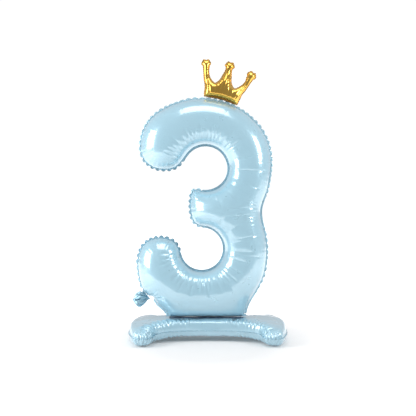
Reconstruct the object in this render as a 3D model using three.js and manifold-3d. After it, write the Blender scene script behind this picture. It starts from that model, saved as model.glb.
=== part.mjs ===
// A standing foil balloon in the shape of the numeral 3, with a small gold foil crown.
// Millimetres, +Z up, +X to the viewer's right, the front faces -Y.
// The origin is under the middle of the object, on the surface that its four feet stand on.
import * as THREE from "three";
import Module from "manifold-3d";
import { ConvexHull } from "three/addons/math/ConvexHull.js";
import { mergeVertices } from "three/addons/utils/BufferGeometryUtils.js";

const wasm = await Module();
wasm.setup();

// ---- Driving dimensions ----
const GAP = 0.3; // clearance kept between touching pieces
const FOIL = 1; // thickness given to a foil sheet
const RIM = 1.2; // thickness of a welded rim, two sheets together

// Numeral
const DIGIT_RIM_WIDTH = 6;
const DIGIT_EDGE_STEP = 14; // spacing of points round its outline
const DIGIT_STEP = 20; // spacing of points inside it
const DIGIT_PLUMP = { limit: 78, power: 5 }; // softly limits the half depth where tubes meet
const UPPER_BAY = { x: -7, z: 512, r: 64 };
const LOWER_BAY = { x: -19, z: 271, r: 62.5 };
const NECK = { left: -126, right: 116, z: 68 }; // where the numeral meets the base

// Base: a pillow with four feet, whose middle is arched off the floor
const FOOT = { x: 188, y: 113, r: 33 }; // centre and radius of each rounded foot
const FOOT_FLARE = THREE.MathUtils.degToRad(18); // how far the base's ends bulge between two feet
const BASE_WAIST = 58; // half depth of the base in its middle
const BASE_RIM_WIDTH = 5;
const BASE_EDGE_STEP = 12;
const BASE_STEP = 14;
const BASE_PLUMP = { limit: 29.8, power: 4 };
const BASE_RIM_Z = 25.5; // height of the rim above the floor at the feet
const BASE_ARCH = { height: 10, reachX: 205, reachY: 132 };
const ARCH_FLATTEN = 0.35; // share of its depth that the lower sheet loses at the arch's middle

// Crown, drawn upright about the middle of its lower edge, then leaned to the right
const CROWN = { x: 38.2, z: 714.9, lean: THREE.MathUtils.degToRad(15) };
const CROWN_RIM_WIDTH = 2.6;
const CROWN_EDGE_STEP = 4.2;
const CROWN_STEP = 7.5;
const CROWN_PLUMP = { limit: 24, power: 4 };
const PRONG_LEAN = THREE.MathUtils.degToRad(17);

// Filling tail, which leaves the numeral's lower left edge
const TAIL = { x: -176, z: 124, halfWidth: 10, thickness: 2 };
const BUNCH = { x: -204.8, z: 120, radii: [18.9, 13, 19.5] };
const VALVE = { start: 11, length: 90, width: 24, film: 0.4, spacing: 0.3, lean: (50 * Math.PI) / 180 };

// Flat open duct between the numeral's air space and the base's
const DUCT = { x: -5, width: 50, depth: 7, wall: 0.8, bottom: 54, top: 88 };
const DUCT_SLOT = { sideX: 4, sideY: 3.5 }; // clearance round it in the base
const WELD = { near: 11, far: 19, left: -116, right: 106 }; // strips on the base's upper sheet

// Tape tabs and filling tail of the crown, in the crown's own frame
const TAB = { x: 40, width: 10, low: -8, high: -1, front: 1.2, thickness: 0.6 };
const CROWN_TAIL = { width: 14, length: 24, low: 1.3, thickness: 0.8 };

const BLUE_FOIL = { color: 0xa9cfe2, roughness: 0.22, metalness: 0.55 };
const BLUE_RIM = { color: 0x8fbdd6, roughness: 0.3, metalness: 0.5 };
const GOLD_FOIL = { color: 0xd9a52c, roughness: 0.18, metalness: 1 };
const CLEAR_FILM = { color: 0xe9eef0, roughness: 0.35, metalness: 0 };

// ---- Small helpers ----
const { PI } = Math;
const at = (x, y) => new THREE.Vector2(x, y);
const points2 = (pairs) => pairs.map(([x, y]) => at(x, y));
const softLimit = (value, { limit, power }) => value / (1 + (value / limit) ** power) ** (1 / power);

function named(name, geometry, finish) {
  const mesh = new THREE.Mesh(geometry, new THREE.MeshStandardMaterial(finish));
  mesh.name = name;
  return mesh;
}

// Evenly spaced points round a closed path, anticlockwise, the first one not repeated.
function loopPoints(path, step) {
  const loop = path.getSpacedPoints(Math.round(path.getLength() / step)).slice(0, -1);
  return THREE.ShapeUtils.isClockWise(loop) ? loop.reverse() : loop;
}

// The same loop moved inwards by a distance, point by point.
function insetLoop(loop, distance) {
  return loop.map((point, i) => {
    const along = loop[(i + 1) % loop.length].clone().sub(loop.at(i - 1)).normalize();
    return at(point.x - along.y * distance, point.y + along.x * distance);
  });
}

function isInside(loop, x, y) {
  let inside = false;
  for (let i = 0, j = loop.length - 1; i < loop.length; j = i, i += 1) {
    const [a, b] = [loop[i], loop[j]];
    if (a.y > y !== b.y > y && x < a.x + ((b.x - a.x) * (y - a.y)) / (b.y - a.y)) inside = !inside;
  }
  return inside;
}

// ---- Inflated sheets ----

// A triangular lattice of points inside a loop, kept clear of its edge.
function latticeInside(loop, step) {
  const box = new THREE.Box2().setFromPoints(loop);
  const rise = (step * Math.sqrt(3)) / 2;
  const clear = (step * 0.62) ** 2;
  const found = [];
  for (let row = 0; box.min.y + row * rise < box.max.y; row += 1) {
    const y = box.min.y + row * rise;
    for (let x = box.min.x + (row % 2) * (step / 2); x < box.max.x; x += step) {
      const point = at(x, y);
      const free = loop.every((edge) => edge.distanceToSquared(point) > clear);
      if (free && isInside(loop, x, y)) found.push(point);
    }
  }
  return found;
}

// Delaunay triangles of the loop and the lattice inside it: the underside of the convex hull of
// the points lifted onto a paraboloid.
function meshInside(loop, step) {
  const points = [...loop, ...latticeInside(loop, step)];
  const lifted = points.map((p) => new THREE.Vector3(p.x, p.y, p.lengthSq() / 500));
  const indexOf = new Map(lifted.map((point, i) => [point, i]));
  const triangles = [];
  for (const face of new ConvexHull().setFromPoints(lifted).faces) {
    if (face.normal.z >= 0) continue;
    const [a, b, c] = [2, 1, 0].map((k) => indexOf.get(face.getEdge(k).head().point));
    const middle = points[a].clone().add(points[b]).add(points[c]).divideScalar(3);
    if (isInside(loop, middle.x, middle.y)) triangles.push([a, b, c]);
  }
  return { points, triangles, edgeCount: loop.length };
}

// Half depth of the inflated pillow at each point: the square root of u, where the Laplacian of u
// is -2 and u is 0 on the edge, which makes a straight tube exactly round.
function pillowHeights({ points, triangles, edgeCount }, plump) {
  const links = points.map(() => new Map());
  const load = points.map(() => 0);
  const link = (i, j, weight) => links[i].set(j, (links[i].get(j) ?? 0) + weight);
  for (const triangle of triangles) {
    for (let k = 0; k < 3; k += 1) {
      const [i, j, far] = [triangle[k], triangle[(k + 1) % 3], triangle[(k + 2) % 3]];
      const toI = points[i].clone().sub(points[far]);
      const toJ = points[j].clone().sub(points[far]);
      const weight = toI.dot(toJ) / toI.cross(toJ) / 2;
      link(i, j, weight);
      link(j, i, weight);
      load[i] += toI.cross(toJ) / 3;
    }
  }
  const u = points.map(() => 0);
  for (let sweep = 0; sweep < 500; sweep += 1) {
    for (let i = edgeCount; i < points.length; i += 1) {
      let [sum, total] = [load[i], 0];
      for (const [j, weight] of links[i]) {
        sum += weight * u[j];
        total += weight;
      }
      u[i] += 1.7 * (sum / total - u[i]);
    }
  }
  return u.map((value) => softLimit(Math.sqrt(Math.max(value, 0)), plump));
}

// The closed solid between two heights over the same triangles.
function sheetGeometry({ points, triangles }, low, high) {
  const count = points.length;
  const position = [];
  for (const heights of [low, high]) points.forEach((p, i) => position.push(p.x, p.y, heights[i]));
  const index = [];
  const edges = new Set(triangles.flatMap(([a, b, c]) => [`${a} ${b}`, `${b} ${c}`, `${c} ${a}`]));
  for (const [a, b, c] of triangles) {
    index.push(a, c, b, a + count, b + count, c + count);
    for (const [from, to] of [[a, b], [b, c], [c, a]]) {
      if (edges.has(`${to} ${from}`)) continue;
      index.push(from, to, to + count, from, to + count, from + count);
    }
  }
  const geometry = new THREE.BufferGeometry();
  geometry.setAttribute("position", new THREE.Float32BufferAttribute(position, 3));
  return geometry.setIndex(index);
}

// Two facing sheets of one envelope, mid being the height of its rim at each point.
function sheetPair(mesh, heights, mid, floor = -Infinity, lowHeights = heights) {
  const over = heights.map((h, i) => mid[i] + GAP / 2 + h);
  const under = lowHeights.map((h, i) => Math.max(floor, mid[i] - GAP / 2 - FOIL - h));
  const thicker = (z) => z + FOIL;
  return {
    upper: sheetGeometry(mesh, over, over.map(thicker)),
    lower: sheetGeometry(mesh, under, under.map(thicker)),
  };
}

// A welded rim between two loops of matching points, from one index to another.
function rimGeometry(outer, inner, width) {
  const shape = new THREE.Shape(outer);
  if (width.closed) shape.holes.push(new THREE.Path(inner));
  else for (const point of [...inner].reverse()) shape.lineTo(point.x, point.y);
  return new THREE.ExtrudeGeometry(shape, { depth: RIM, bevelEnabled: false }).translate(0, 0, -RIM / 2);
}

// ---- Booleans ----
function toSolid(geometry) {
  const bare = geometry.clone();
  bare.deleteAttribute("normal");
  bare.deleteAttribute("uv");
  const merged = mergeVertices(bare, 1e-4);
  const vertProperties = new Float32Array(merged.attributes.position.array);
  return new wasm.Manifold(
    new wasm.Mesh({ numProp: 3, vertProperties, triVerts: new Uint32Array(merged.index.array) }),
  );
}

function toGeometry(solid) {
  const { vertProperties, triVerts } = solid.getMesh();
  const geometry = new THREE.BufferGeometry();
  geometry.setAttribute("position", new THREE.Float32BufferAttribute(vertProperties, 3));
  return geometry.setIndex([...triVerts]);
}

const cutBy = (geometry, tool) => toGeometry(toSolid(geometry).subtract(toSolid(tool)));
const commonOf = (geometry, tool) => toGeometry(toSolid(geometry).intersect(toSolid(tool)));

function block(x0, x1, y0, y1, z0, z1) {
  const box = new THREE.BoxGeometry(x1 - x0, y1 - y0, z1 - z0);
  return box.translate((x0 + x1) / 2, (y0 + y1) / 2, (z0 + z1) / 2);
}

// ---- Outlines, rims included ----
function digitOutline() {
  const path = new THREE.Path();
  const bottom = NECK.z - DIGIT_RIM_WIDTH;
  path.moveTo(NECK.right, bottom);
  path.lineTo(NECK.right, 80);
  path.splineThru(points2([
    [127, 109], [152, 149], [172, 190], [179, 235], [181, 274], [176, 315], [166, 352], [162, 382],
    [168, 410], [182, 446], [190, 490], [193, 524], [190, 562], [177, 604], [152, 645], [118, 676],
    [84, 697], [40, 714.5], [-14, 722], [-60, 719], [-113, 702], [-150, 683], [-180, 655], [-198, 622],
    [-206, 585], [-203, 553], [-189, 527], [-162, 508], [-128, 503], [-98, 508], [-77, 524], [-64, 544],
  ]));
  path.absarc(UPPER_BAY.x, UPPER_BAY.z, UPPER_BAY.r, 0.83 * PI, -0.6 * PI, true);
  path.splineThru(points2([
    [-40, 452], [-53, 440], [-58, 405], [-54, 366], [-43, 345], [-30, 336],
  ]));
  path.absarc(LOWER_BAY.x, LOWER_BAY.z, LOWER_BAY.r, 0.56 * PI, -0.92 * PI, true);
  path.splineThru(points2([
    [-84, 275], [-97, 295], [-120, 307], [-149, 310], [-180, 300], [-204, 276], [-215, 238], [-213, 198],
    [-206, 163], [-194, 139], [-176, 121], [-153, 99], [-137, 85], [NECK.left, 75],
  ]));
  path.lineTo(NECK.left, bottom);
  path.closePath();
  return path;
}

function baseOutline() {
  const path = new THREE.Path();
  path.moveTo(0, -BASE_WAIST);
  const inner = FOOT.x - FOOT.r;
  const outer = at(FOOT.x + FOOT.r * Math.cos(FOOT_FLARE), FOOT.y + FOOT.r * Math.sin(FOOT_FLARE));
  const bulge = outer.x + outer.y * Math.tan(FOOT_FLARE); // where the feet's outer edges would meet
  for (const s of [1, -1]) {
    const turn = s > 0 ? 0 : PI;
    path.bezierCurveTo(110 * s, -BASE_WAIST * s, inner * s, -75 * s, inner * s, -FOOT.y * s);
    path.absarc(FOOT.x * s, -FOOT.y * s, FOOT.r, PI + turn, 2 * PI - FOOT_FLARE + turn, false);
    path.quadraticCurveTo(bulge * s, 0, outer.x * s, outer.y * s);
    path.absarc(FOOT.x * s, FOOT.y * s, FOOT.r, FOOT_FLARE + turn, PI + turn, false);
    path.bezierCurveTo(inner * s, 75 * s, 110 * s, BASE_WAIST * s, 0, BASE_WAIST * s);
  }
  return path;
}

// The knob on a prong: a lobe to each side and two on top, from its right over the top to its left.
const KNOB_SIDE = [[11, -14], [11, -9], [14.5, -6], [15.5, -1], [13, 3.5], [11, 7], [6.5, 11.5], [0, 8.5]];

function knobPoints(x, y, lean) {
  const left = KNOB_SIDE.slice(0, -1).reverse().map(([u, v]) => [-u, v]);
  return points2([...KNOB_SIDE, ...left]).map((p) => p.rotateAround(at(0, 0), -lean).add(at(x, y)));
}

function crownOutline() {
  const side = [[58, 25], [66, 46], [72, 65]]; // outside of a leaning prong
  const inside = [[54, 71], [45, 55], [31, 45], [20.5, 55], [14.5, 75]]; // down to the valley and up
  const mirrored = (pairs) => pairs.map(([x, y]) => [-x, y]).reverse();
  const path = new THREE.Path();
  path.moveTo(-50, -5);
  path.quadraticCurveTo(0, 10, 50, -5);
  path.splineThru([
    at(52.5, -1), ...points2(side), ...knobPoints(70, 94, PRONG_LEAN), ...points2(inside),
    ...knobPoints(0, 105, 0), ...points2(mirrored(inside)), ...knobPoints(-70, 94, -PRONG_LEAN),
    ...points2(mirrored(side)), at(-52.5, -1), at(-50, -5),
  ]);
  return path;
}

// ---- Numeral: drawn in X and Z, inflated towards the front and the back ----
function makeDigit() {
  const outline = loopPoints(digitOutline(), DIGIT_EDGE_STEP);
  const mesh = meshInside(insetLoop(outline, DIGIT_RIM_WIDTH), DIGIT_STEP);
  const heights = pillowHeights(mesh, DIGIT_PLUMP);
  const sheets = sheetPair(mesh, heights, heights.map(() => 0));
  const duct = block(
    DUCT.x - DUCT.width / 2 - 1, DUCT.x + DUCT.width / 2 + 1,
    NECK.z - 5, NECK.z + 2, -DUCT.depth / 2 - 1, DUCT.depth / 2 + 1,
  );
  const group = new THREE.Group();
  group.add(
    named("digit_front_sheet", cutBy(sheets.upper, duct), BLUE_FOIL),
    named("digit_back_sheet", cutBy(sheets.lower, duct), BLUE_FOIL),
    ...digitRims(outline),
    ...makeTail(),
    ...makeValve(),
  );
  group.rotation.x = PI / 2;
  return group;
}

// The rim stops at the filling tail and at the base.
function digitRims(outline) {
  const inner = insetLoop(outline, DIGIT_RIM_WIDTH - GAP);
  const root = at(TAIL.x, TAIL.z);
  const stretches = [[], []];
  let which = 0;
  outline.forEach((point, i) => {
    if (point.y < NECK.z + 1) return;
    if (point.distanceTo(root) < TAIL.halfWidth) which = 1;
    else stretches[which].push(i);
  });
  return stretches.map((indices, k) => {
    const [out, back] = [outline, inner].map((loop) => indices.map((i) => loop[i]));
    const name = k === 0 ? "digit_edge_seam" : "digit_edge_seam_short";
    return named(name, rimGeometry(out, back, { closed: false }), BLUE_RIM);
  });
}

// A flat neck that gathers into a bunch of foil, drawn in the numeral's own plane.
function makeTail() {
  const { x, z, thickness } = TAIL;
  const shape = new THREE.Shape(points2([
    [x - 6, z + 4], [x - 14, z + 3], [x - 21, z + 2], [x - 21, z - 8], [x - 8, z - 7], [x + 5, z - 5],
  ]));
  const neck = new THREE.ExtrudeGeometry(shape, { depth: thickness, bevelEnabled: false });
  neck.translate(0, 0, -thickness / 2);
  const [rx, ry, rz] = BUNCH.radii;
  const ball = (grow) =>
    new THREE.SphereGeometry(1, 16, 12)
      .scale(rx + grow, rz + grow, ry + grow)
      .translate(BUNCH.x, BUNCH.z, 0);
  return [
    named("filling_tail_neck", cutBy(neck, ball(GAP)), BLUE_RIM),
    named("filling_tail_bunch", ball(0), BLUE_FOIL),
  ];
}

// Two films of the self-sealing valve, running inwards from the tail.
function makeValve() {
  return [["valve_film_front", 1], ["valve_film_back", -1]].map(([name, side]) => {
    const film = new THREE.BoxGeometry(VALVE.length, VALVE.width, VALVE.film);
    film.translate(VALVE.start + VALVE.length / 2, 0, side * (VALVE.film / 2 + VALVE.spacing / 2));
    return named(name, film.rotateZ(VALVE.lean).translate(TAIL.x, TAIL.z, 0), CLEAR_FILM);
  });
}

// ---- Base ----
function baseLift({ x, y }) {
  const { height, reachX, reachY } = BASE_ARCH;
  return height * Math.max(0, 1 - (x / reachX) ** 4) * Math.max(0, 1 - (y / reachY) ** 2);
}

function makeBase() {
  const outline = loopPoints(baseOutline(), BASE_EDGE_STEP);
  const mesh = meshInside(insetLoop(outline, BASE_RIM_WIDTH), BASE_STEP);
  const heights = pillowHeights(mesh, BASE_PLUMP);
  const lifts = mesh.points.map(baseLift);
  const mid = lifts.map((lift) => BASE_RIM_Z + lift);
  const lowHeights = heights.map((h, i) => h * (1 - (ARCH_FLATTEN * lifts[i]) / BASE_ARCH.height));
  const sheets = sheetPair(mesh, heights, mid, 0, lowHeights);
  const rim = rimGeometry(outline, insetLoop(outline, BASE_RIM_WIDTH - GAP), { closed: true });
  const place = rim.attributes.position;
  for (let i = 0; i < place.count; i += 1) {
    place.setZ(i, place.getZ(i) + BASE_RIM_Z + baseLift({ x: place.getX(i), y: place.getY(i) }));
  }
  const halfX = DUCT.width / 2 + DUCT_SLOT.sideX;
  const halfY = DUCT.depth / 2 + DUCT_SLOT.sideY;
  const slot = block(DUCT.x - halfX, DUCT.x + halfX, -halfY, halfY, BASE_RIM_Z, NECK.z + 20);
  const group = new THREE.Group();
  group.add(
    named("base_upper_sheet", cutBy(sheets.upper, slot), BLUE_FOIL),
    named("base_lower_sheet", sheets.lower, BLUE_FOIL),
    named("base_edge_seam", rim, BLUE_RIM),
    ...makeWelds(sheets.upper),
  );
  return group;
}

// Weld strips: a second skin on the upper sheet, cut to two long bands.
function makeWelds(upperSheet) {
  const skin = upperSheet.clone().translate(0, 0, FOIL + GAP);
  return [["neck_weld_front", -WELD.far, -WELD.near], ["neck_weld_back", WELD.near, WELD.far]].map(
    ([name, y0, y1]) => {
      const band = block(WELD.left, WELD.right, y0, y1, BASE_RIM_Z, NECK.z + 20);
      return named(name, commonOf(skin, band), BLUE_RIM);
    },
  );
}

// The duct stands in the numeral's lower edge and reaches into the base.
function makeDuct() {
  const slab = (width, depth) => block(-width / 2, width / 2, -depth / 2, depth / 2, DUCT.bottom, DUCT.top);
  const { width, depth, wall } = DUCT;
  const bore = slab(width - 2 * wall, depth - 2 * wall).scale(1, 1, 2).translate(0, 0, -DUCT.top / 2);
  return named("neck_air_duct", cutBy(slab(width, depth), bore).translate(DUCT.x, 0, 0), CLEAR_FILM);
}

// ---- Crown ----
function makeCrown() {
  const outline = loopPoints(crownOutline(), CROWN_EDGE_STEP);
  const mesh = meshInside(insetLoop(outline, CROWN_RIM_WIDTH), CROWN_STEP);
  const heights = pillowHeights(mesh, CROWN_PLUMP);
  const sheets = sheetPair(mesh, heights, heights.map(() => 0));
  const inner = insetLoop(outline, CROWN_RIM_WIDTH - GAP);
  const { low, high, front, width, thickness } = TAB;
  const tabs = [["crown_tape_tab_left", -TAB.x], ["crown_tape_tab_right", TAB.x]].map(([name, x]) => {
    const tab = block(x - width / 2, x + width / 2, low, high, -front - thickness, -front);
    return named(name, tab, CLEAR_FILM);
  });
  const tail = block(
    -CROWN_TAIL.width / 2, CROWN_TAIL.width / 2,
    CROWN_TAIL.low, CROWN_TAIL.low + CROWN_TAIL.thickness, -CROWN_TAIL.length, 0,
  );
  const leaned = new THREE.Group();
  leaned.add(
    named("crown_front_sheet", sheets.upper, GOLD_FOIL),
    named("crown_back_sheet", sheets.lower, GOLD_FOIL),
    named("crown_edge_seam", rimGeometry(outline, inner, { closed: true }), GOLD_FOIL),
    named("crown_filling_tail", tail, GOLD_FOIL),
    ...tabs,
  );
  leaned.rotation.z = -CROWN.lean;
  const group = new THREE.Group();
  group.add(leaned);
  group.rotation.x = PI / 2;
  group.position.set(CROWN.x, 0, CROWN.z);
  return group;
}

const balloon = new THREE.Group();
balloon.name = "standing_number_balloon";
balloon.add(makeBase(), makeDuct(), makeDigit(), makeCrown());

export default balloon;
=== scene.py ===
import math

import bpy
import numpy as np
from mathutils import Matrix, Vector, noise
from mathutils.geometry import delaunay_2d_cdt


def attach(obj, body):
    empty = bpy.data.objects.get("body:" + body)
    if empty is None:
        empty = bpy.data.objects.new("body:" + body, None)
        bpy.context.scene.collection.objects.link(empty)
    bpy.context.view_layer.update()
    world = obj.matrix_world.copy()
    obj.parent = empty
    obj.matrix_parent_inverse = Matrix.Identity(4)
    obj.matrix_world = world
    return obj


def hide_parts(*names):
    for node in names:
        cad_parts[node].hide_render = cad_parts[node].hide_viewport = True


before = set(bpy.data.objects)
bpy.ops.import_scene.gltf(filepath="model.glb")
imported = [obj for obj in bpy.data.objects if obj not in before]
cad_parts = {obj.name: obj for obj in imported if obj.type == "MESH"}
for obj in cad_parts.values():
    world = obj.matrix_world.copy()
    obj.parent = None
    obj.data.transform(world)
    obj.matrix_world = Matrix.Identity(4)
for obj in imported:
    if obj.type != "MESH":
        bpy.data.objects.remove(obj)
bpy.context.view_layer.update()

MM = 0.001

# View, with places in metres and the lens in millimetres
CAMERA = {"place": (0, -2.5, 0.51), "target": (0, 0, 0.393), "lens": 72.5}
SOFTBOXES = {  # each has a place, a target, a width and height, all in metres, and a power in watts
    "left_softbox": ((-1.22, -0.58, 0.66), (0, 0, 0.42), (0.8, 0.85), 13),
    "right_softbox": ((1.12, -0.75, 0.86), (0, 0, 0.5), (0.4, 0.62), 7.5),
    "top_softbox": ((0.05, -0.6, 1.75), (0, 0, 0.5), (1.0, 0.75), 7),
}

# Numeral
NECK = {"left": -120.0, "right": 110.0, "z": 68.0}  # its lower edge, where it meets the base
RIM_FREE = {"from": 74.0, "over": 14.0}  # heights over which its rim becomes free to pucker
DIGIT_STEP = 2.4
DIGIT_PLUMP = {"limit": 78.0, "power": 5}
UPPER_BAY = {"centre": (-7.0, 512.0), "radius": 70.0}
LOWER_BAY = {"centre": (-19.0, 271.0), "radius": 68.5}
WAIST = {"centre": (330.0, 384.0), "radius": 174.0}  # the hollow in its right side
LONG_FOLDS = [  # each has a start, an end, a depth and a width
    ((78, 534), (176, 560), 1.2, 1.6), ((72, 508), (180, 503), 1.4, 1.6), ((70, 480), (172, 444), 1.2, 1.6),
    ((64, 300), (160, 318), 1.2, 1.6), ((66, 262), (168, 247), 1.2, 1.6), ((60, 392), (150, 398), 1.1, 1.8),
    ((50, 372), (146, 372), 1.2, 1.8),
]
TAIL = {  # the root is where its neck leaves the numeral, and the bunch runs from start to end
    "root": (-173.0, 124.0), "start": -178.0, "end": -222.5, "z": (123.0, 118.0),
}
TAIL_GATHERS = [(78, 26), (52, 40), (30, 34), (8, 46), (-14, 30), (-32, 36), (-48, 24)]  # degrees, length

# Base
BASE_STEP = 2.0
BASE_PLUMP = {"limit": 29.8, "power": 4}
BASE_RIM_Z = 25.5
BASE_ARCH = {"height": 10.0, "reach_x": 205.0, "reach_y": 132.0, "flatten": 0.35}
BASE_SKIN = 1.1  # how far the CAD sheets stand outside the film's own surface

# Crown
CROWN_STEP = 1.1
CROWN_PLUMP = {"limit": 24.0, "power": 4}
CROWN = {"place": (38.2, 714.9), "lean": 15.0}
CROWN_FOLD = {"depth": 1.5, "width": 3.4}
CROWN_FOLDS = [  # from one point to another, x0, y0, x1, y1, in the crown's own leaned frame
    (-48, 4, -64, 82), (-34, 2, -58, 66), (-22, 4, -30, 52), (-12, 4, -8, 92), (2, 2, 5, 96), (16, 6, 14, 74),
    (27, 4, 32, 54), (38, 4, 58, 76), (48, 4, 68, 84),
]

# Film and rims
SCATTER = (2.399, 3.77, 5.13)  # radians for each crease, so that neighbours get unlike values
STRIP_ROWS = [  # a rim's rows: each one's share of the width, and its side, 1 in front and -1 behind
    (-0.12, 1), (0.3, 1), (0.7, 1), (1, 0.4), (1, -0.4), (0.7, -1), (0.3, -1), (-0.12, -1),
]

# Each plane has a direction to the right, one up, and one in which its envelope is inflated.
STANDING = {"right": (1, 0, 0), "up": (0, 0, 1), "out": (0, -1, 0)}
LYING = {"right": (1, 0, 0), "up": (0, 1, 0), "out": (0, 0, 1)}


# ---- Outlines ----
def in_plane(points, plane):
    """A plane's own two coordinates of points in space."""
    return np.c_[points @ np.array(plane["right"]), points @ np.array(plane["up"])]


def in_space(points, heights, plane):
    """The place in space of a plane's points, each one raised by its height."""
    right, up, out = (np.array(plane[k], float) for k in ("right", "up", "out"))
    return np.outer(points[:, 0], right) + np.outer(points[:, 1], up) + np.outer(heights, out)


def wall_chain(node, plane, lowest=-1e9):
    """The outline of a CAD sheet, chained from the walls round its edge that lie above lowest."""
    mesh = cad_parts[node].data
    flat = in_plane(np.array([v.co[:] for v in mesh.vertices]) / MM, plane).round(2)
    out = Vector(plane["out"])
    links = {}
    for face in mesh.polygons:
        ends = sorted({tuple(flat[i]) for i in face.vertices})
        is_wall = abs(face.normal.dot(out)) < 0.02 and len(ends) == 2
        if is_wall and min(ends[0][1], ends[1][1]) > lowest:
            links.setdefault(ends[0], set()).add(ends[1])
            links.setdefault(ends[1], set()).add(ends[0])
    starts = sorted(point for point, near in links.items() if len(near) == 1) or sorted(links)
    chain = [starts[0]]
    seen = {chain[0]}
    while True:
        onward = sorted(point for point in links[chain[-1]] if point not in seen)
        if not onward:
            break
        chain.append(onward[0])
        seen.add(onward[0])
    chain = np.array(chain)
    return chain if signed_area(chain) > 0 else chain[::-1]


def signed_area(loop):
    """Above 0 where the loop runs anticlockwise."""
    ahead = np.roll(loop, -1, axis=0)
    return (loop[:, 0] * ahead[:, 1] - ahead[:, 0] * loop[:, 1]).sum() / 2


def smooth_loop(points, step, corner=math.radians(48), span_points=12):
    """A smooth closed curve through the points, evenly spaced, with its sharp corners kept."""
    ahead = np.roll(points, -1, axis=0) - points
    behind = np.roll(ahead, 1, axis=0)
    chord = np.linalg.norm(ahead, axis=1)
    before = np.roll(chord, 1)
    slope = (ahead + behind) / (chord + before)[:, None]
    cosine = (ahead * behind).sum(1) / (chord * before)
    sharp = np.arccos(np.clip(cosine, -1, 1)) > corner
    leaving = np.where(sharp[:, None], ahead / chord[:, None], slope)
    arriving = np.where(sharp[:, None], behind / before[:, None], slope)
    t = np.linspace(0, 1, span_points, endpoint=False)[:, None, None]
    size = chord[:, None]
    curve = (
        (2 * t**3 - 3 * t**2 + 1) * points
        + (t**3 - 2 * t**2 + t) * leaving * size
        + (3 * t**2 - 2 * t**3) * (points + ahead)
        + (t**3 - t**2) * np.roll(arriving, -1, axis=0) * size
    )
    curve = curve.transpose(1, 0, 2).reshape(-1, 2)
    closed = np.r_[curve, curve[:1]]
    run = np.r_[0, np.cumsum(np.linalg.norm(np.diff(closed, axis=0), axis=1))]
    where = np.linspace(0, run[-1], round(run[-1] / step), endpoint=False)
    return np.c_[np.interp(where, run, closed[:, 0]), np.interp(where, run, closed[:, 1])]


def spread(values, reach):
    """The running mean of a closed row of values over reach places to each side."""
    width = 2 * reach + 1
    padded = np.r_[values[-reach:], values, values[:reach]]
    return np.convolve(padded, np.ones(width) / width, "valid")


class Seam:
    """An evenly spaced closed loop with its inward directions and its curvature."""

    BATCH = 3000  # points compared with the loop at a time, which bounds the memory used

    def __init__(self, loop, reach):
        self.loop = loop
        ahead = np.roll(loop, -1, axis=0) - loop
        self.step = np.linalg.norm(ahead, axis=1).mean()
        along = np.roll(loop, -1, axis=0) - np.roll(loop, 1, axis=0)
        self.along = along / np.linalg.norm(along, axis=1)[:, None]
        self.inward = np.c_[-self.along[:, 1], self.along[:, 0]]
        heading = np.unwrap(np.arctan2(self.along[:, 1], self.along[:, 0]))
        turn = np.diff(np.r_[heading, heading[0] + 2 * math.pi]) / self.step
        self.turn = spread(turn, max(1, round(reach / self.step)))  # above 0 where it is convex

    def nearest(self, points):
        """For each point: its nearest place on the loop, as a fractional index, and its distance."""
        index = np.zeros(len(points), int)
        for first in range(0, len(points), self.BATCH):
            batch = slice(first, first + self.BATCH)
            gap = points[batch, None] - self.loop
            index[batch] = (gap**2).sum(2).argmin(1)
        offset = points - self.loop[index]
        distance = np.linalg.norm(offset, axis=1)
        fan = np.clip(1 - self.turn[index] * distance, 0.35, 4)
        slide = (offset * self.along[index]).sum(1) / fan / self.step
        return index + np.clip(slide, -1, 1), distance

    def at(self, values, place):
        """The loop's values at fractional indices."""
        low = np.floor(place).astype(int)
        share = place - low
        count = len(self.loop)
        return values[low % count] * (1 - share) + values[(low + 1) % count] * share

    def contains(self, points):
        """Which points lie inside the loop."""
        crossings = np.zeros(len(points), int)
        for (ax, ay), (bx, by) in zip(self.loop, np.roll(self.loop, -1, axis=0), strict=True):
            if ay == by:
                continue
            spans = (ay > points[:, 1]) != (by > points[:, 1])
            crossings += spans & (points[:, 0] < ax + (bx - ax) * (points[:, 1] - ay) / (by - ay))
        return crossings % 2 == 1


# ---- Inflated film ----
def fill(seam, rows, step):
    """Points and triangles inside a seam: rows that follow its edge, then a lattice."""
    parts = [seam.loop]
    for depth in rows:
        row = seam.loop + seam.inward * depth
        parts.append(row[(seam.nearest(row)[1] > 0.96 * depth) & seam.contains(row)])
    low, high = seam.loop.min(0), seam.loop.max(0)
    rise = step * math.sqrt(0.75)
    ys = np.arange(low[1], high[1], rise)
    xs = np.arange(low[0], high[0], step)
    grid = np.array([(x + (k % 2) * step / 2, y) for k, y in enumerate(ys) for x in xs])
    grid = grid[seam.contains(grid)]
    parts.append(grid[seam.nearest(grid)[1] > rows[-1] + 0.6 * step])
    points = np.concatenate(parts)
    count = len(seam.loop)
    edges = [(i, (i + 1) % count) for i in range(count)]
    inside_only, merge_within = 1, 1e-4
    found = delaunay_2d_cdt([Vector(p) for p in points], edges, [], inside_only, merge_within)
    return np.array([p[:] for p in found[0]]), np.array(found[2])


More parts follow.
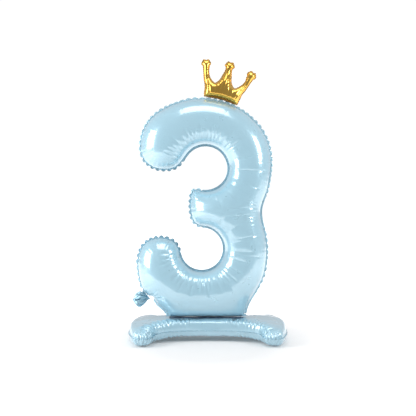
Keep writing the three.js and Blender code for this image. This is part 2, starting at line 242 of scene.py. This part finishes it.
def half_depths(points, triangles, rim_count, plump, most_steps=700, solved=1e-9):
    """Half the depth of the pillow at each point: the square root of u, where the Laplacian of
    u is -2 and u is 0 on the rim, which makes a straight tube round. It is solved by conjugate
    gradients, and plump sets a soft limit to it."""
    count = len(points)
    firsts, seconds, weights = [], [], []
    load = np.zeros(count)
    for k in range(3):
        i, j, far = (triangles[:, (k + n) % 3] for n in range(3))
        to_i, to_j = points[i] - points[far], points[j] - points[far]
        double_area = to_i[:, 0] * to_j[:, 1] - to_i[:, 1] * to_j[:, 0]
        weight = (to_i * to_j).sum(1) / double_area / 2
        firsts += [i, j]
        seconds += [j, i]
        weights += [weight, weight]
        load += np.bincount(i, double_area / 3, count)
    i, j, weight = (np.concatenate(part) for part in (firsts, seconds, weights))
    diagonal = np.bincount(i, weight, count)
    free = np.arange(count) >= rim_count

    def apply(u):
        return np.where(free, diagonal * u - np.bincount(i, weight * u[j], count), 0)

    u = np.zeros(count)
    left = np.where(free, load, 0)
    step = left / diagonal
    push = (left * step).sum()
    for _ in range(most_steps):
        change = apply(step)
        size = push / (step * change).sum()
        u += size * step
        left = left - size * change
        scaled = left / diagonal
        fresh = (left * scaled).sum()
        if fresh < solved:
            break
        step = scaled + step * fresh / push
        push = fresh
    height = np.sqrt(np.maximum(u, 0))
    return height / (1 + (height / plump["limit"]) ** plump["power"]) ** (1 / plump["power"])


def normals_of(co, triangles):
    """The unit normal at each vertex, weighted by the area of the triangles round it."""
    a, b, c = (co[triangles[:, k]] for k in range(3))
    face = np.cross(b - a, c - a)
    total = np.zeros_like(co)
    for k in range(3):
        for axis in range(3):
            total[:, axis] += np.bincount(triangles[:, k], face[:, axis], len(co))
    return total / np.maximum(np.linalg.norm(total, axis=1), 1e-12)[:, None]


class Envelope:
    """Two films joined round a seam and inflated along a plane's third direction.

    middle gives the height of the surface between the films, lower the share of the depth that
    the lower film has, and skin how far both stand outside the inflated shape.
    """

    def __init__(self, seam, plane, plump, rows, step, middle=None, lower=None, skin=0.0):
        self.seam, self.plane = seam, plane
        self.flat, front = fill(seam, rows, step)
        self.rim_count = len(seam.loop)
        height = half_depths(self.flat, front, self.rim_count, plump)
        height += skin * np.minimum(height / 10, 1)
        self.middle = np.zeros(len(self.flat)) if middle is None else middle(self.flat)
        inner = np.arange(len(self.flat)) >= self.rim_count
        twin = np.where(inner, np.cumsum(inner) - 1 + len(self.flat), np.arange(len(self.flat)))
        self.triangles = np.r_[front, twin[front][:, ::-1]]
        self.place, self.depth_in = seam.nearest(self.flat)
        over = in_space(self.flat, self.middle + height, plane)
        low = height if lower is None else height * lower(self.flat)
        under = in_space(self.flat, self.middle - low, plane)
        self.inner = inner
        self.co = np.r_[over, under[inner]]

    def both_sides(self, front, back):
        """One value for each vertex, from the values on the front film and on the back film."""
        return np.r_[front, back[self.inner]]

    def push(self, distance):
        """Moves each vertex outwards by its distance."""
        self.co = self.co + normals_of(self.co, self.triangles) * distance[:, None]

    def rim(self):
        """The places of the seam, in space."""
        return self.co[: self.rim_count]


def waviness(co, wavelength, amount, seed):
    """A slow unevenness of the film."""
    shift = Vector((seed * 17.3, seed * 5.1, seed * 9.7))
    return np.array([noise.noise(Vector(p) / wavelength + shift) for p in co]) * amount


def wander(count, seed):
    """A smooth closed row of values from about -1 to 1."""
    angle = np.linspace(0, 2 * math.pi, count, endpoint=False)
    waves = [(5, 0.3), (11, 0.27), (23, 0.25), (37, 0.18)]
    return sum(size * np.sin(rate * angle + seed * (k + 1.7)) for k, (rate, size) in enumerate(waves))


def seam_phase(seam, pitch, seed):
    """A count of puckers along the seam, a whole number at each valley. It closes on itself."""
    rate = seam.step / pitch * (1 + 0.22 * wander(len(seam.loop), seed))
    run = np.cumsum(rate)
    return run * round(run[-1]) / run[-1]


def phase_at(envelope, phase):
    """The count of puckers at each point's nearest place on the seam."""
    row = np.floor(envelope.place).astype(int) % len(phase)
    share = envelope.place - np.floor(envelope.place)
    after = phase[(row + 1) % len(phase)]
    after = np.where(after < phase[row], after + round(phase[-1]), after)
    return phase[row] * (1 - share) + after * share


def valleys(phase, sharpness):
    """1 along each valley and 0 midway between two, with a sharp crease where sharpness is low."""
    return 1 - np.abs(np.sin(math.pi * phase)) ** sharpness


def pucker(envelope, phase, depth, reach, seed):
    """Puckers that run inwards from the convex stretches of the seam and fade out."""
    at_seam = phase_at(envelope, phase)
    varied = 1 + 0.3 * np.sin(at_seam.round() * SCATTER[0] + seed)
    strength = envelope.seam.at(depth, envelope.place)
    return -strength * varied * valleys(at_seam, 0.75) * np.exp(-envelope.depth_in / (reach * varied))


def crease_values(phase, seed):
    """Three values from 0 to 1 for each crease, by its number."""
    number = phase.round()
    return [0.5 + 0.5 * np.sin(number * rate + seed) for rate in SCATTER]


def edge_creases(envelope, phase, strength, near, far, depth, seed):
    """Creases that run inwards from the hollow stretches of a seam, starting near and ending far."""
    at_seam = phase_at(envelope, phase)
    vary = crease_values(at_seam, seed)
    start = near * (0.7 + 0.6 * vary[0])
    end = far * (0.7 + 0.4 * vary[1])
    fade = np.sin(math.pi * np.clip((envelope.depth_in - start) / (end - start), 0, 1)) ** 0.8
    amount = envelope.seam.at(strength, envelope.place)
    return -depth * (0.5 + 0.5 * vary[2]) * amount * fade * valleys(at_seam, 1.1)


def fan(flat, hollow, pitch, near, far, depth, window, seed):
    """Creases that spread from a hollow's centre, pitch degrees apart, within a window of angles.
    near and far are distances from its edge."""
    offset = flat - np.array(hollow["centre"])
    out = np.linalg.norm(offset, axis=1) - hollow["radius"]
    angle = np.degrees(np.arctan2(offset[:, 1], offset[:, 0]))
    angle = (angle - window[0]) % 360 + window[0]
    phase = angle / pitch + 0.24 * np.sin(angle / pitch * 1.31 + seed)
    vary = crease_values(phase, seed)
    start = near * (0.75 + 0.5 * vary[0])
    end = far * (0.72 + 0.4 * vary[1])
    fade = np.sin(math.pi * np.clip((out - start) / (end - start), 0, 1)) ** 0.8
    inside = np.clip((angle - window[0]) / 14, 0, 1) * np.clip((window[1] - angle) / 14, 0, 1)
    return -depth * (0.55 + 0.45 * vary[2]) * fade * inside * valleys(phase, 0.7)


def creases(flat, lines):
    """Sharp valleys along separate lines, each one from a start to an end, with a depth and width."""
    relief = np.zeros(len(flat))
    for start, end, depth, width in lines:
        along = np.array(end, float) - start
        length = np.linalg.norm(along)
        offset = flat - np.array(start)
        run = offset @ along / length**2
        aside = np.abs(along[0] * offset[:, 1] - along[1] * offset[:, 0]) / length
        fade = np.sin(math.pi * np.clip(run, 0, 1)) ** 0.7
        relief -= depth * fade * np.exp(-aside / width)
    return relief


# ---- Meshes ----
def new_piece(name, co, faces, body, material):
    """A visible piece from points in millimetres, riding on its body."""
    mesh = bpy.data.meshes.new(name)
    mesh.from_pydata((np.asarray(co) * MM).tolist(), [], faces)
    mesh.validate()
    mesh.shade_smooth()
    piece = bpy.data.objects.new(name, mesh)
    bpy.context.scene.collection.objects.link(piece)
    mesh.materials.append(material)
    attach(piece, body)
    return piece


def strip(seam_co, outward, out, widths, bends, thickness):
    """A welded rim: rows of points from inside the seam to its outer edge, front and back."""
    rows = []
    for share, side in STRIP_ROWS:
        reach = outward * (widths * share)[:, None]
        lift = bends * max(share, 0) ** 1.4 + side * thickness / 2
        rows.append(seam_co + reach + np.outer(lift, out))
    return np.array(rows)


def strip_faces(count, row_count, closed):
    """Quads of a tube whose rows run along it, with end caps where it is open."""
    faces = []
    for r in range(row_count):
        after = (r + 1) % row_count
        for i in range(count if closed else count - 1):
            j = (i + 1) % count
            faces.append((r * count + i, r * count + j, after * count + j, after * count + i))
    if not closed:
        faces.append([r * count for r in range(row_count)])
        faces.append([r * count + count - 1 for r in reversed(range(row_count))])
    return faces


# ---- Materials ----
def new_material(name):
    material = bpy.data.materials.new(name)
    material.use_nodes = True
    tree = material.node_tree
    return material, tree, tree.nodes["Principled BSDF"]


def add_node(tree, kind, links=None, **settings):
    """A shader node. A setting is an input's value, or else one of the node's own properties."""
    node = tree.nodes.new(kind)
    for key, value in settings.items():
        if key in node.inputs:
            node.inputs[key].default_value = value
        else:
            setattr(node, key, value)
    for key, source in (links or {}).items():
        tree.links.new(source, node.inputs[key])
    return node


def film_coordinates(tree):
    return add_node(tree, "ShaderNodeTexCoord").outputs["Object"]


def noise_value(tree, scale, detail=2.0, roughness=0.5, distortion=0.0):
    made = add_node(
        tree, "ShaderNodeTexNoise", {"Vector": film_coordinates(tree)},
        Scale=scale, Detail=detail, Roughness=roughness, Distortion=distortion,
    )
    return made.outputs["Fac"]


def ramp(tree, source, stops):
    node = add_node(tree, "ShaderNodeValToRGB", {"Fac": source})
    elements = node.color_ramp.elements
    while len(elements) < len(stops):
        elements.new(0.5)
    for element, (position, colour) in zip(elements, stops, strict=True):
        element.position = position
        element.color = (*colour, 1)
    return node.outputs["Color"]


def remap(tree, source, low, high, start=0.3, end=0.7):
    node = add_node(tree, "ShaderNodeMapRange", {"Value": source})
    node.inputs["From Min"].default_value = start
    node.inputs["From Max"].default_value = end
    node.inputs["To Min"].default_value = low
    node.inputs["To Max"].default_value = high
    return node.outputs["Result"]


def add_bumps(tree, shader, layers):
    """Stacked bumps: (height, strength, distance in metres) for each layer."""
    normal = None
    for height, strength, distance in layers:
        bump = add_node(tree, "ShaderNodeBump", {"Height": height}, Strength=strength, Distance=distance)
        if normal is not None:
            tree.links.new(normal, bump.inputs["Normal"])
        normal = bump.outputs["Normal"]
    tree.links.new(normal, shader.inputs["Normal"])


def foil(name, light, deep, metallic, roughness, coat, crinkle):
    """Metallised film: slow changes of tint and gloss, fine crinkles and a glossy coat.

    roughness is a range, coat is the coat's weight, IOR and roughness, and crinkle is the
    strength of the crinkles.
    """
    material, tree, shader = new_material(name)
    tint = noise_value(tree, 9, detail=3)
    colour = ramp(tree, tint, [(0.3, deep), (0.7, light)])
    tree.links.new(colour, shader.inputs["Base Color"])
    shader.inputs["Metallic"].default_value = metallic
    gloss = noise_value(tree, 38, detail=4, roughness=0.6)
    tree.links.new(remap(tree, gloss, roughness[0], roughness[1]), shader.inputs["Roughness"])
    for socket, value in zip(("Coat Weight", "Coat IOR", "Coat Roughness"), coat, strict=True):
        shader.inputs[socket].default_value = value
    crease = noise_value(tree, 120, detail=2)
    grain = noise_value(tree, 900, detail=2)
    add_bumps(tree, shader, [(crease, crinkle, 0.0006), (grain, 0.05, 0.00008)])
    return material


def pearl_foil():
    return foil(
        "pearl_blue_foil", light=(0.375, 0.60, 0.71), deep=(0.355, 0.585, 0.70),
        metallic=0.2, roughness=(0.27, 0.30), coat=(1.0, 2.0, 0.09), crinkle=0.012,
    )


def gold_foil():
    return foil(
        "gold_mirror_foil", light=(0.90, 0.58, 0.13), deep=(0.80, 0.46, 0.08),
        metallic=1.0, roughness=(0.10, 0.17), coat=(0.2, 1.5, 0.05), crinkle=0.03,
    )


def welded_foil(name, pale, dark, metallic, spacing=0.0022):
    """A rim of two films welded together, with fine crimp lines. An attribute takes its colour from pale to
    dark; the dark is painted shade, where the rim faces or bends away from the light."""
    material, tree, shader = new_material(name)
    # The attribute read here carries painted shade.
    painted_shade = add_node(tree, "ShaderNodeAttribute", attribute_name="painted_shade").outputs["Fac"]
    mottle = noise_value(tree, 160, detail=3)
    varied = add_node(tree, "ShaderNodeMath", {0: painted_shade, 1: remap(tree, mottle, -0.12, 0.12)}, operation="ADD")
    colour = ramp(tree, varied.outputs["Value"], [(0.0, pale), (1.0, dark)])
    tree.links.new(colour, shader.inputs["Base Color"])
    shader.inputs["Metallic"].default_value = metallic
    gloss = noise_value(tree, 220, detail=2)
    tree.links.new(remap(tree, gloss, 0.2, 0.34), shader.inputs["Roughness"])
    shader.inputs["Coat Weight"].default_value = 0.4
    shader.inputs["Coat Roughness"].default_value = 0.08
    crimp = add_node(
        tree, "ShaderNodeTexWave", {"Vector": film_coordinates(tree)},
        Scale=1 / spacing / 20, Distortion=2.0, Detail=1.0, bands_direction="DIAGONAL",
    )
    add_bumps(tree, shader, [(crimp.outputs["Fac"], 0.25, 0.0002), (mottle, 0.3, 0.0004)])
    return material


def clear_film():
    """Thin clear plastic with faint rolling streaks."""
    material, tree, shader = new_material("clear_film")
    streak = noise_value(tree, 60, detail=3, distortion=1.5)
    colour = ramp(tree, streak, [(0.35, (0.80, 0.87, 0.91)), (0.65, (0.92, 0.95, 0.96))])
    tree.links.new(colour, shader.inputs["Base Color"])
    tree.links.new(remap(tree, streak, 0.12, 0.3), shader.inputs["Roughness"])
    shader.inputs["Alpha"].default_value = 0.45
    add_bumps(tree, shader, [(streak, 0.2, 0.0003)])
    return material


BLUE = pearl_foil()
# The dark end of this rim's ramp is painted shade.
RIM = welded_foil(
    "welded_blue_rim", pale=(0.47, 0.70, 0.81), dark=(0.045, 0.19, 0.29), metallic=0.45
)
GOLD = gold_foil()
# The dark end of this rim's ramp is painted shade.
GOLD_RIM = welded_foil(
    "welded_gold_rim", pale=(0.80, 0.47, 0.09), dark=(0.13, 0.05, 0.008), metallic=0.9
)
CLEAR = clear_film()
# Painted shade: the neck welds are coloured dark navy to stand for the dark slit of shade between the numeral
# and the base.
NECK_SLIT_SHADE = welded_foil(
    "neck_weld_painted_shade", pale=(0.01, 0.07, 0.18), dark=(0.005, 0.03, 0.09), metallic=0.2
)


# ---- Numeral ----
def set_painted_shade(piece, values):
    """The attribute that a welded foil takes its painted shade from, from 0, pale, to 1, dark."""
    attribute = piece.data.attributes.new("painted_shade", "FLOAT", "POINT")
    attribute.data.foreach_set("value", np.asarray(values, np.float32))


def rim_freedom(z):
    """0 beside the neck, and 1 from where the numeral's rim is free to pucker."""
    return np.clip((z - RIM_FREE["from"]) / RIM_FREE["over"], 0, 1)


def make_digit():
    chain = wall_chain("digit_front_sheet", STANDING, lowest=NECK["z"] + 2)
    corners = [(NECK["left"], NECK["z"]), (NECK["right"], NECK["z"])]
    loop = smooth_loop(np.r_[chain, corners], DIGIT_STEP)
    seam = Seam(loop, reach=16)
    envelope = Envelope(seam, STANDING, DIGIT_PLUMP, [0.6, 2.3, 5.2, 9.1], DIGIT_STEP)
    convex = np.clip(seam.turn * 95, 0, 1) * rim_freedom(loop[:, 1])
    phase = seam_phase(seam, pitch=17.5, seed=1.0)
    relief = []
    for seed in (0.0, 2.0):
        flat = envelope.flat
        side = pucker(envelope, phase, 1.7 * convex + 0.12, reach=13, seed=seed)
        side = side + fan(flat, UPPER_BAY, 8.0, 8, 62, 2.6, (28, 172), seed + 0.4)
        side = side + fan(flat, UPPER_BAY, 17.0, 12, 84, 2.4, (-80, 70), seed + 1.9)
        side = side + fan(flat, LOWER_BAY, 8.0, 8, 66, 2.6, (-190, -28), seed + 1.1)
        side = side + fan(flat, LOWER_BAY, 17.0, 12, 84, 2.4, (-70, 64), seed + 0.7)
        side = side + fan(flat, WAIST, 2.6, 4, 60, 1.1, (160, 201), seed + 2.2)
        side = side + creases(flat, tail_creases() + LONG_FOLDS)
        relief.append(side)
    envelope.push(envelope.both_sides(*relief))
    envelope.push(waviness(envelope.co, 70, 0.9, seed=1))
    film = new_piece(
        "numeral_film", envelope.co, envelope.triangles.tolist(), "digit", BLUE
    )
    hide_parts("digit_front_sheet", "digit_back_sheet")
    make_digit_rims(envelope, convex, phase)


def tail_creases():
    """Gathers that run into the numeral from the filling tail."""
    root = np.array(TAIL["root"])
    lines = []
    for angle, length in TAIL_GATHERS:
        way = np.array([math.cos(math.radians(angle)), math.sin(math.radians(angle))])
        lines.append((root - 6 * way, root + length * way, 2.6, 2.4))
    return lines


def rim_strip(name, envelope, keep, widths, bends, painted_shade, body, material, node, thickness=0.5):
    """A rim along the seam's places in keep, which is one run of indices or the whole loop."""
    seam, plane = envelope.seam, envelope.plane
    out = np.array(plane["out"], float)
    outward = in_space(-seam.inward, np.zeros(len(seam.loop)), plane)
    closed = len(keep) == len(seam.loop)
    rows = strip(
        envelope.rim()[keep], outward[keep], out, widths[keep], bends[keep], thickness
    )
    co = rows.reshape(-1, 3)
    faces = strip_faces(len(keep), len(rows), closed)
    piece = new_piece(name, co, faces, body, material)
    # Painted shade: each row is darker towards the rim's outer edge, where the flat flange faces away from
    # the light.
    row_shades = [painted_shade[keep] * (0.3 + 0.9 * max(share, 0) ** 2) for share, _ in STRIP_ROWS]
    set_painted_shade(piece, np.concatenate(row_shades))
    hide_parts(node)


def make_digit_rims(envelope, convex, phase):
    seam = envelope.seam
    x, z = seam.loop.T
    lobe = np.abs(np.sin(math.pi * phase))
    scallop = np.clip(seam.turn * 180, 0, 1) * rim_freedom(z)
    widths = 5.4 + scallop * (5.4 * lobe**0.7 - 3.9)
    bends = convex * 1.8 * np.sin(2 * math.pi * phase + 0.7)
    # Painted shade on the rim: darker on the left lobes, most at the middle of each scallop where the rim
    # bends back, and along the hollow stretches of the seam.
    shaded = np.clip((-30 - x) / 40, 0, 1) * np.clip((560 - z) / 60, 0, 1) * np.clip((z - 215) / 60, 0, 1)
    tight = 0.55 * np.clip(-seam.turn * 60, 0, 1)
    painted_shade = np.clip(0.05 + tight + shaded * (0.15 + 1.3 * lobe**2), 0, 1)
    index = np.arange(len(seam.loop))
    away = np.hypot(x - TAIL["root"][0], z - TAIL["root"][1]) > 9
    above = z > NECK["z"] + 0.5
    start = index[above & ~away].min()
    for name, node, part in [
        ("numeral_rim", "digit_edge_seam", index[above & away & (index < start)]),
        ("numeral_rim_short", "digit_edge_seam_short", index[above & away & (index > start)]),
    ]:
        rim_strip(name, envelope, part, widths, bends, painted_shade, "digit", RIM, node)


# ---- Filling tail ----
def make_tail():
    """The gathered end of the film: a flat neck that opens into a crumpled, pleated bunch."""
    rings, sides = ((52, 96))
    pleats, ridges = 7, 10  # round the bunch
    start, end = TAIL["start"], TAIL["end"]
    z0, z1 = TAIL["z"]
    share = np.linspace(0, 1, rings)
    turn = np.linspace(0, 2 * math.pi, sides, endpoint=False)
    co = []
    painted_shades = []
    for s in share:
        girth = 4.0 + 20.0 * math.sin(math.pi * min(1, s * 0.93)) ** 0.85 * s**0.35
        for a in turn:
            pleat = 1 - 0.30 * s**0.3 * (1 - abs(math.sin(pleats / 2 * a + 1.5 * s + 0.6)) ** 0.7)
            ridge = 1 - 0.14 * (1 - abs(math.sin(ridges / 2 * a - 5 * s)))
            point = Vector((s * 2.1, math.cos(a) * 1.3, math.sin(a) * 1.3))
            crumple = 1 + 0.55 * (noise.voronoi(point * 1.4)[0][0] - 0.35) * s**0.5
            radius = girth * pleat * ridge * crumple
            x = start + (end - start) * s - 2.0 * math.cos(2 * a) * s
            co.append((x, radius * math.cos(a) * 0.8, z0 + (z1 - z0) * s + radius * math.sin(a) * 1.12))
            # Painted shade: darker in the folds between pleats and ridges, and near the narrow neck.
            painted_shades.append(min(1.0, 0.15 + 2.2 * (1 - pleat * ridge) + 0.5 * max(0.0, 0.3 - s)))
    faces = [
        (r * sides + i, (r + 1) * sides + i, (r + 1) * sides + (i + 1) % sides, r * sides + (i + 1) % sides)
        for r in range(rings - 1)
        for i in range(sides)
    ]
    faces.append(list(range(sides)))
    faces.append([(rings - 1) * sides + i for i in reversed(range(sides))])
    bunch = new_piece("filling_tail_crumple", co, faces, "filling_tail", RIM)
    set_painted_shade(bunch, painted_shades)
    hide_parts("filling_tail_bunch")


# ---- Base ----
def base_lift(x, y):
    """How far the arch lifts the middle of the base off the floor."""
    arch = BASE_ARCH
    along = np.maximum(0, 1 - (x / arch["reach_x"]) ** 4)
    return arch["height"] * along * np.maximum(0, 1 - (y / arch["reach_y"]) ** 2)


def make_base():
    chain = wall_chain("base_lower_sheet", LYING)
    seam = Seam(smooth_loop(chain, BASE_STEP), reach=12)
    envelope = Envelope(
        seam, LYING, BASE_PLUMP, [0.5, 1.8, 4.0, 7.0], BASE_STEP,
        middle=lambda flat: BASE_RIM_Z + base_lift(flat[:, 0], flat[:, 1]),
        lower=lambda flat: 1 - BASE_ARCH["flatten"] * base_lift(*flat.T) / BASE_ARCH["height"],
        skin=BASE_SKIN,
    )
    x = seam.loop[:, 0]
    convex = np.clip(seam.turn * 30, 0, 1)
    hollow = np.clip((172 - np.abs(x)) / 14, 0, 1) * np.clip((np.abs(x) - 30) / 40, 0.12, 1)
    phase = seam_phase(seam, pitch=12, seed=2.0)
    relief = []
    for seed in (0.0, 3.0):
        side = pucker(envelope, phase, 4.4 * convex + 0.15, reach=22, seed=seed)
        side = side + edge_creases(envelope, phase, hollow, 0, 36, 4.2, seed)
        relief.append(side)
    envelope.push(envelope.both_sides(*relief))
    envelope.push(waviness(envelope.co, 34, 1.6, seed=4))
    envelope.co[:, 2] = np.maximum(envelope.co[:, 2], 0)
    film = new_piece("base_film", envelope.co, envelope.triangles.tolist(), "base", BLUE)
    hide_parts("base_upper_sheet", "base_lower_sheet")
    widths = 3.2 + convex * (1.4 * np.abs(np.sin(math.pi * phase)) ** 0.7 - 1.2)
    bends = convex * 1.6 * np.sin(2 * math.pi * phase)
    # Painted shade on the rim: darker along the hollow stretches and where the scallops bend back.
    painted_shade = np.clip(0.3 + 0.3 * hollow + 0.45 * np.sin(2 * math.pi * phase) * convex, 0, 1)
    index = np.arange(len(seam.loop))
    rim_strip(
        "base_rim", envelope, index, widths, bends, painted_shade, "base", RIM, "base_edge_seam"
    )


# ---- Crown ----
def crown_folds():
    """Long folds that run up the prongs, drawn in the crown's own leaned frame."""
    lean = math.radians(CROWN["lean"])
    right = np.array([math.cos(lean), -math.sin(lean)])
    up = np.array([math.sin(lean), math.cos(lean)])
    folds = []
    for x0, y0, x1, y1 in CROWN_FOLDS:
        ends = [np.array(CROWN["place"]) + x * right + y * up for x, y in [(x0, y0), (x1, y1)]]
        folds.append((ends[0], ends[1], CROWN_FOLD["depth"], CROWN_FOLD["width"]))
    return folds


def make_crown():
    chain = wall_chain("crown_front_sheet", STANDING)
    seam = Seam(smooth_loop(chain, CROWN_STEP, corner=math.radians(70)), reach=2.5)
    envelope = Envelope(seam, STANDING, CROWN_PLUMP, [0.35, 1.2, 2.4], CROWN_STEP)
    convex = np.clip(seam.turn * 30, 0, 1)
    hollow = np.clip(-seam.turn * 30, 0, 1)
    phase = seam_phase(seam, pitch=6.0, seed=3.0)
    relief = []
    for seed in (0.0, 1.5):
        side = pucker(envelope, phase, 0.45 * convex + 0.22, reach=5, seed=seed)
        side = side + edge_creases(envelope, phase, hollow, 3, 15, 0.4, seed)
        side = side + creases(envelope.flat, crown_folds())
        relief.append(side)
    envelope.push(envelope.both_sides(*relief))
    envelope.push(waviness(envelope.co, 20, 1.0, seed=7))
    film = new_piece("crown_film", envelope.co, envelope.triangles.tolist(), "crown", GOLD)
    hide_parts("crown_front_sheet", "crown_back_sheet")
    lean = math.radians(CROWN["lean"])
    offset = seam.loop - CROWN["place"]
    right = offset @ [math.cos(lean), -math.sin(lean)]
    up = offset @ [math.sin(lean), math.cos(lean)]
    under = np.clip((12 - up) / 4, 0, 1) * np.clip((44 - np.abs(right)) / 8, 0, 1)
    widths = 1.9 + 0.6 * np.abs(np.sin(math.pi * phase)) + under * (2.9 - 2.0 * (right / 50) ** 2)
    bends = 0.5 * np.sin(2 * math.pi * phase) * (1 - under)
    # Painted shade on the rim: darker along the crown's lower edge, where it sits against the numeral, and
    # where the scallops bend back.
    painted_shade = np.clip(0.3 + 0.35 * np.sin(2 * math.pi * phase) + 0.9 * under, 0, 1)
    index = np.arange(len(seam.loop))
    rim_strip(
        "crown_rim", envelope, index, widths, bends, painted_shade,
        "crown", GOLD_RIM, "crown_edge_seam", thickness=0.35,
    )


# ---- CAD nodes that keep their shape ----
def finish_cad_nodes():
    finishes = {
        # The neck welds take the painted shade of the slit between the numeral and the base.
        "neck_weld_front": NECK_SLIT_SHADE,
        "neck_weld_back": NECK_SLIT_SHADE,
        "neck_air_duct": CLEAR,
        "filling_tail_neck": RIM,
        "valve_film_front": CLEAR,
        "valve_film_back": CLEAR,
        "crown_filling_tail": GOLD_RIM,
        "crown_tape_tab_left": CLEAR,
        "crown_tape_tab_right": CLEAR,
    }
    for name, material in finishes.items():
        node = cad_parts[name]
        node.data.materials.clear()
        node.data.materials.append(material)


# ---- Stage ----
def floor_material():
    material, tree, shader = new_material("studio_floor")
    speck = noise_value(tree, 6, detail=2)
    colour = ramp(tree, speck, [(0.3, (0.83, 0.81, 0.80)), (0.7, (0.84, 0.82, 0.81))])
    tree.links.new(colour, shader.inputs["Base Color"])
    shader.inputs["Roughness"].default_value = 0.7
    shader.inputs["Emission Color"].default_value = (1, 1, 1, 1)
    # It glows more with the distance from a place just in front of the balloon.
    place = add_node(tree, "ShaderNodeVectorMath", {0: film_coordinates(tree)}, operation="ADD")
    place.inputs[1].default_value = (0, 0.16, 0)
    far = add_node(tree, "ShaderNodeVectorMath", {0: place.outputs["Vector"]}, operation="LENGTH")
    glow = remap(tree, far.outputs["Value"], 0.04, 0.85, start=0.14, end=1.0)
    tree.links.new(glow, shader.inputs["Emission Strength"])
    return material


def make_stage():
    mesh = bpy.data.meshes.new("studio_floor")
    left, right, front, back = -3.0, 3.0, -0.95, 6.0
    mesh.from_pydata(
        [(left, front, 0), (right, front, 0), (right, back, 0), (left, back, 0)], [], [(0, 1, 2, 3)]
    )
    floor = bpy.data.objects.new("studio_floor", mesh)
    bpy.context.scene.collection.objects.link(floor)
    mesh.materials.append(floor_material())


def area_light(name, place, target, size, power):
    lamp = bpy.data.lights.new(name, "AREA")
    lamp.shape = "RECTANGLE"
    lamp.size, lamp.size_y = size
    lamp.energy = power
    light = bpy.data.objects.new(name, lamp)
    light.location = place
    light.rotation_euler = (Vector(target) - Vector(place)).to_track_quat("-Z", "Y").to_euler()
    light.visible_camera = False
    bpy.context.scene.collection.objects.link(light)


def make_lights():
    for name, softbox in SOFTBOXES.items():
        area_light(name, *softbox)
    world = bpy.data.worlds.new("studio")
    bpy.context.scene.world = world
    world.use_nodes = True
    tree = world.node_tree
    tree.nodes.clear()
    rays = add_node(tree, "ShaderNodeLightPath")
    way = add_node(tree, "ShaderNodeTexCoord").outputs["Generated"]
    depth = add_node(tree, "ShaderNodeSeparateXYZ", {"Vector": way}).outputs["Y"]
    level = remap(tree, depth, 0.36, 0.62, start=-0.95, end=0.1)  # darker behind the camera
    room = add_node(tree, "ShaderNodeBackground", {"Strength": level}, Color=(0.97, 1.0, 1.03, 1))
    white = add_node(tree, "ShaderNodeBackground", Color=(1, 1, 1, 1), Strength=1.05)
    mix = add_node(tree, "ShaderNodeMixShader")
    tree.links.new(rays.outputs["Is Camera Ray"], mix.inputs[0])
    tree.links.new(room.outputs[0], mix.inputs[1])
    tree.links.new(white.outputs[0], mix.inputs[2])
    out = add_node(tree, "ShaderNodeOutputWorld")
    tree.links.new(mix.outputs[0], out.inputs["Surface"])


def make_camera():
    data = bpy.data.cameras.new("camera")
    data.lens = CAMERA["lens"]
    camera = bpy.data.objects.new("camera", data)
    camera.location = CAMERA["place"]
    ahead = Vector(CAMERA["target"]) - camera.location
    camera.rotation_euler = ahead.to_track_quat("-Z", "Y").to_euler()
    bpy.context.scene.collection.objects.link(camera)
    bpy.context.scene.camera = camera
    bpy.context.scene.view_settings.view_transform = "Standard"


make_camera()
make_stage()
make_lights()
make_digit()
make_tail()
make_base()
make_crown()
finish_cad_nodes()
